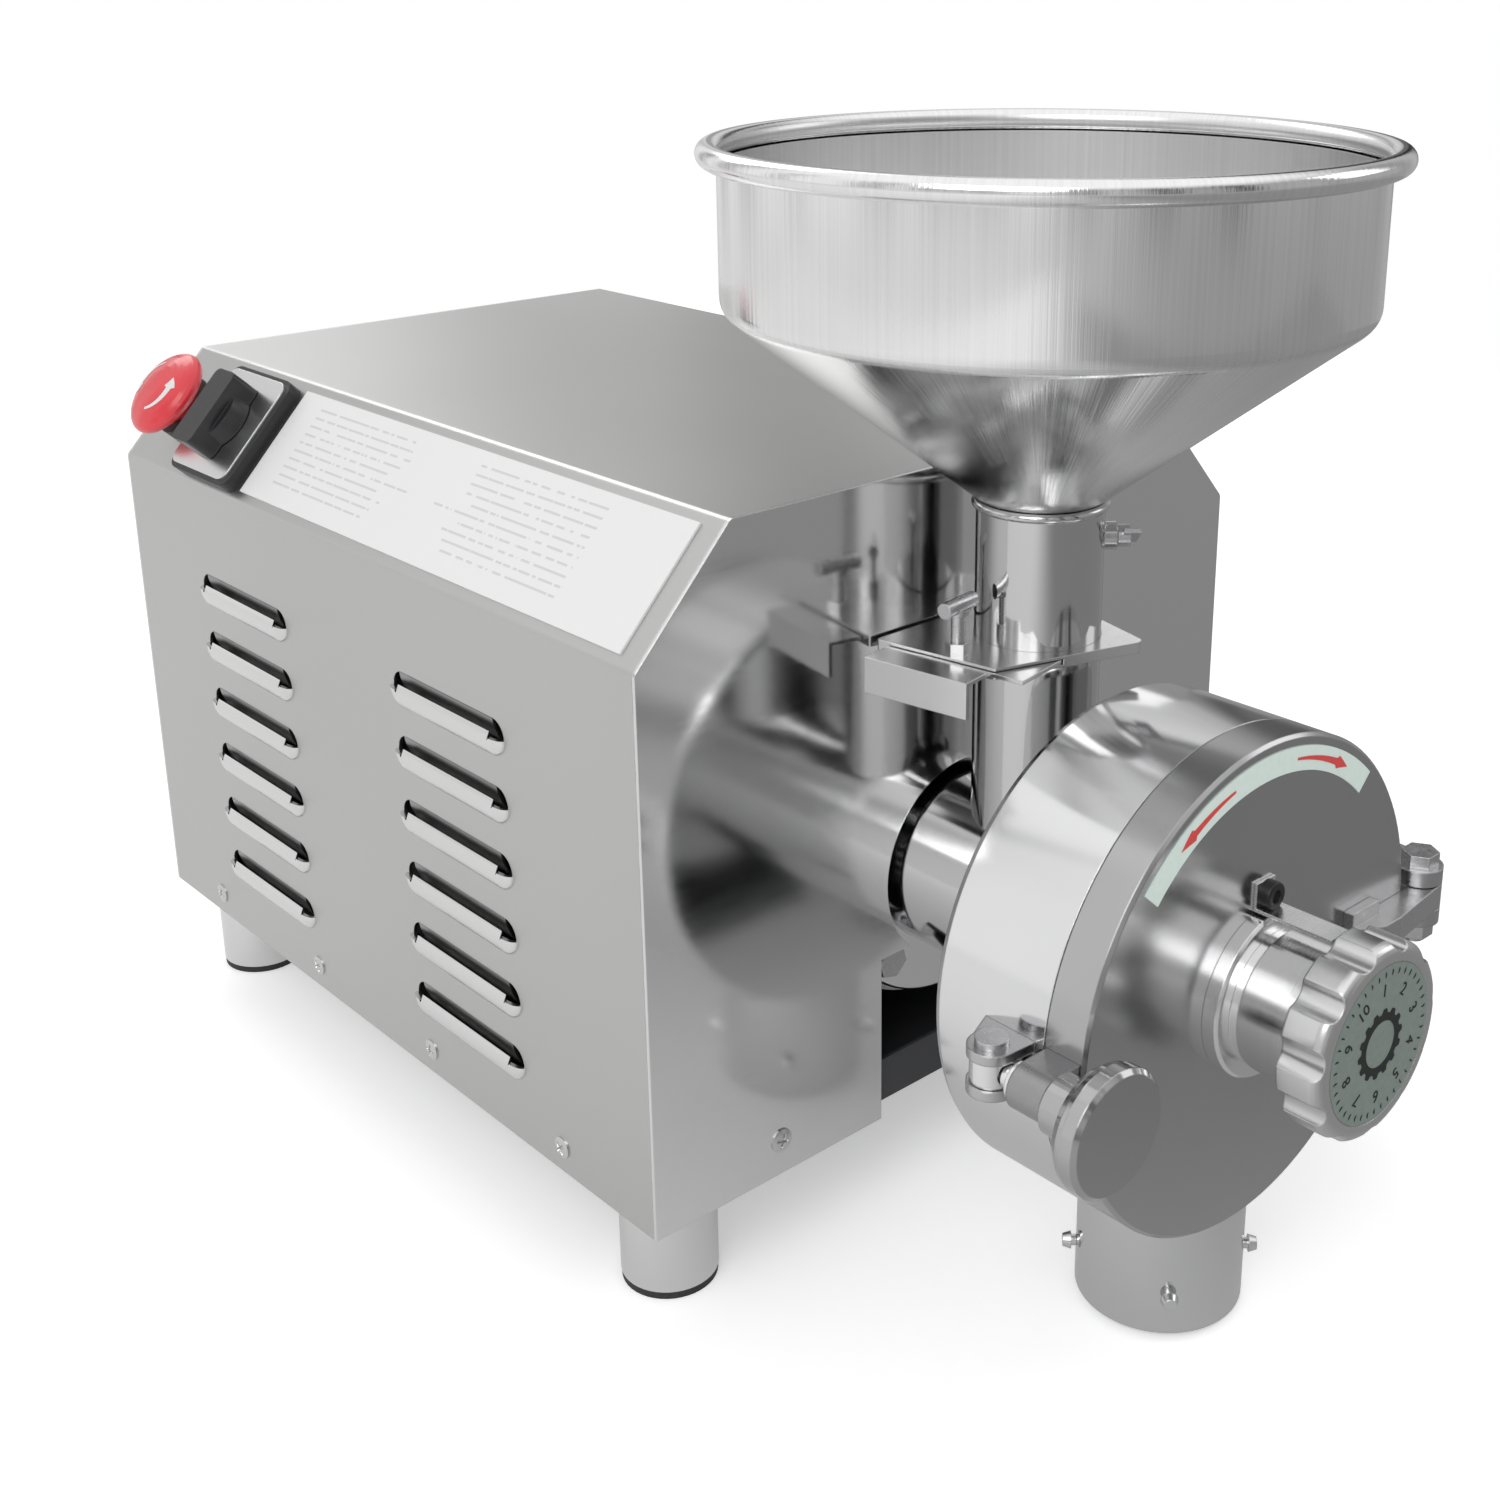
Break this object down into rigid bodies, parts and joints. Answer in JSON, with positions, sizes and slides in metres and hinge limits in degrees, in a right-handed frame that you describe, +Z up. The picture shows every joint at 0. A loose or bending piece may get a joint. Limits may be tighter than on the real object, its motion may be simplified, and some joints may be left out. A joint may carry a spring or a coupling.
{
  "type": "flour mill",
  "caption": "Table-top flour mill with steel housing, conical hopper, gated feed tube, hinged grinding drum with adjusting knob, and round outlet",
  "frame": {"origin": "centre of the footprint, on the table surface", "axes": "+Z up, the grinding drum faces -Y, +Y runs back through the housing, X is the width"},
  "size_m": [0.3112, 0.5734, 0.4064],
  "materials": {
    "wrap_steel": "satin brushed stainless sheet",
    "mirror_steel": "mirror polished stainless sheet",
    "polished_steel": "polished stainless steel",
    "knob_steel": "bright polished knob",
    "plate_steel": "cut stainless plate",
    "cast_steel": "cast stainless, dull",
    "screw_steel": "bright bolts and screws",
    "tray_paint": "dark grey",
    "motor_paint": "grey motor enamel",
    "motor_alloy": "cast end bells",
    "lamination": "stacked electrical sheet",
    "copper": "varnished copper winding",
    "shaft_steel": "ground steel",
    "disc_iron": "hardened grinding disc",
    "rubber_black": "black rubber",
    "black_plastic": "black",
    "red_plastic": "red mushroom head",
    "white_label": "white film label, bare",
    "mint_label": "pale mint film with two red arrows",
    "dial_grey": "grey-green dial plate"
  },
  "bodies": {
    "housing": {"base_tray": "tray_paint", "foot_tubes": "polished_steel", "foot_pads": "rubber_black", "foot_bolts": "screw_steel", "housing_wrap": "wrap_steel", "louvre_lips": "wrap_steel", "front_panel": "mirror_steel", "rear_panel": "wrap_steel", "label_plate": "white_label", "stop_collar": "black_plastic", "switch_body": "black_plastic", "switch_plate": "plate_steel", "cable_gland": "black_plastic", "capacitor": "black_plastic", "motor_cradle": "tray_paint", "motor_frame": "motor_paint", "bell_front": "motor_alloy", "bell_rear": "motor_alloy", "stator_core": "lamination", "windings": "copper", "bearings": "shaft_steel", "shaft_seal": "rubber_black", "barrel": "polished_steel", "flange_bolts": "screw_steel", "feed_tube": "polished_steel", "gate_holder": "plate_steel", "drum": "polished_steel", "outlet_pins": "screw_steel", "hinge_lug": "cast_steel", "hinge_bolt": "screw_steel", "clamp_lug": "cast_steel", "clamp_pin": "screw_steel"},
    "stop_head": {"stop_button": "red_plastic"},
    "grip": {"switch_grip": "black_plastic"},
    "gate": {"gate_blade": "plate_steel"},
    "gate_lock": {"gate_screw": "screw_steel"},
    "hopper_bowl": {"hopper": "polished_steel", "hopper_spigot": "polished_steel"},
    "hopper_lock": {"hopper_screw": "screw_steel"},
    "clamp_swivel": {"clamp_swivel": "screw_steel"},
    "clamp_knob": {"clamp_nut": "knob_steel", "clamp_screw": "screw_steel"},
    "cover": {"front_cover": "polished_steel", "cover_boss": "polished_steel", "hinge_arm": "cast_steel", "clamp_arm": "cast_steel", "arc_label": "mint_label", "detent_strip": "plate_steel"},
    "adjuster": {"adjust_knob": "knob_steel", "dial_plate": "dial_grey", "adjust_spindle": "shaft_steel"},
    "carrier": {"disc_carrier": "shaft_steel", "still_disc": "disc_iron"},
    "rotor": {"turning_disc": "disc_iron", "feed_screw": "shaft_steel", "motor_shaft": "shaft_steel", "rotor_core": "lamination", "cooling_fan": "black_plastic"}
  },
  "joints": [
    {"name": "stop_press", "type": "slide", "parent": "housing", "child": "stop_head", "axis": [0.7322, 0, -0.6811], "range_m": [0, 0.004], "stiffness_N_per_m": 900, "springref_m": -0.001},
    {"name": "switch_turn", "type": "hinge", "parent": "housing", "child": "grip", "pos_m": [-0.12834, 0.19565, 0.2695], "axis": [-0.7322, 0, 0.6811], "range_deg": [0, 90]},
    {"name": "gate_slide", "type": "slide", "parent": "housing", "child": "gate", "axis": [-0.9848, -0.1736, 0], "range_m": [0, 0.042]},
    {"name": "gate_screw_turn", "type": "hinge", "parent": "housing", "child": "gate_lock", "pos_m": [-0.03361, -0.13458, 0.234], "axis": [0, 0, 1], "range_deg": [0, 360]},
    {"name": "hopper_lift", "type": "slide", "parent": "housing", "child": "hopper_bowl", "axis": [0, 0, 1], "range_m": [0, 0.06]},
    {"name": "hopper_screw_turn", "type": "hinge", "parent": "housing", "child": "hopper_lock", "pos_m": [0.00259, -0.13835, 0.271], "axis": [0.7314, -0.682, 0], "range_deg": [0, 360]},
    {"name": "clamp_swivel_turn", "type": "hinge", "parent": "housing", "child": "clamp_swivel", "pos_m": [-0.09541, -0.21105, 0.1364], "axis": [0, 0, 1], "range_deg": [-30, 30]},
    {"name": "clamp_knob_turn", "type": "hinge", "parent": "cover", "child": "clamp_knob", "pos_m": [-0.09541, -0.23785, 0.1364], "axis": [0, -1, 0], "range_deg": [0, 360]},
    {"name": "cover_open", "type": "hinge", "parent": "housing", "child": "cover", "pos_m": [0.10259, -0.23835, 0.1364], "axis": [0, 0, 1], "range_deg": [0, 110]},
    {"name": "adjuster_turn", "type": "hinge", "parent": "cover", "child": "adjuster", "pos_m": [0.00259, -0.28665, 0.1364], "axis": [0, -1, 0], "range_deg": [-150, 150]},
    {"name": "disc_shift", "type": "slide", "parent": "cover", "child": "carrier", "axis": [0, 1, 0], "range_m": [-0.00063, 0.00063]},
    {"name": "rotor_spin", "type": "hinge", "parent": "housing", "child": "rotor", "pos_m": [0.00259, -0.10435, 0.1364], "axis": [0, -1, 0], "continuous": true}
  ],
  "couplings": [
    {"joint": "disc_shift", "follows": "adjuster_turn", "m_per_rad": 0.00023873}
  ]
}
